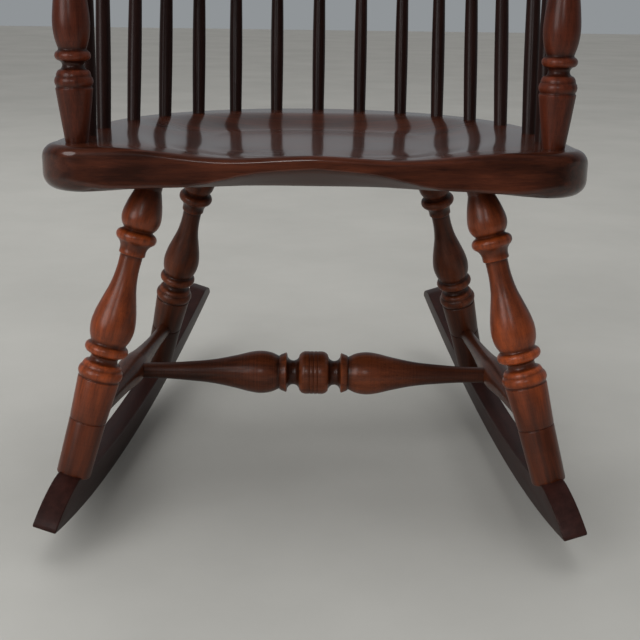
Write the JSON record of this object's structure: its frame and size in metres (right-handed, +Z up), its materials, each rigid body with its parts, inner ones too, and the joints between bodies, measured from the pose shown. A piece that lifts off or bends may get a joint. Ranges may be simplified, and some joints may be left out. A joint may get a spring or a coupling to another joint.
{
  "type": "hoop back rocking chair",
  "caption": "Wooden rocking armchair with a carved plank seat, a spindled hoop back standing on a bent arm rail, splayed turned legs braced by turned stretchers, and curved rockers",
  "frame": {"origin": "on the floor, on the chair's middle plane, midway between the rockers' front and rear tips", "axes": "+X to the right as the chair is seen from the front, +Y to the back, +Z up"},
  "size_m": [0.556, 0.7051, 1.0443],
  "materials": {
    "seat_plank": "dark red-brown stain under gloss lacquer",
    "turned_legs": "orange-brown stain under gloss lacquer",
    "spindles": "dark brown stain under gloss lacquer",
    "dark_runners": "dark purple-brown stain under satin lacquer",
    "bent_arms_and_hoop": "red-brown stain under gloss lacquer"
  },
  "bodies": {
    "root": {"seat": "seat_plank", "arm_rail": "bent_arms_and_hoop", "arm_hand_left": "bent_arms_and_hoop", "arm_hand_right": "bent_arms_and_hoop", "hoop": "bent_arms_and_hoop", "long_spindle_middle": "spindles", "long_spindle_left_1": "spindles", "long_spindle_right_1": "spindles", "long_spindle_left_2": "spindles", "long_spindle_right_2": "spindles", "long_spindle_left_3": "spindles", "long_spindle_right_3": "spindles", "long_spindle_left_4": "spindles", "long_spindle_right_4": "spindles", "short_spindle_left_1": "spindles", "short_spindle_right_1": "spindles", "short_spindle_left_2": "spindles", "short_spindle_right_2": "spindles", "short_spindle_left_3": "spindles", "short_spindle_right_3": "spindles", "arm_post_left": "turned_legs", "arm_post_right": "turned_legs", "front_leg_left": "turned_legs", "front_leg_right": "turned_legs", "rear_leg_left": "turned_legs", "rear_leg_right": "turned_legs", "side_stretcher_left": "dark_runners", "side_stretcher_right": "dark_runners", "rocker_left": "dark_runners", "rocker_right": "dark_runners", "medial_stretcher": "dark_runners"}
  },
  "joints": []
}
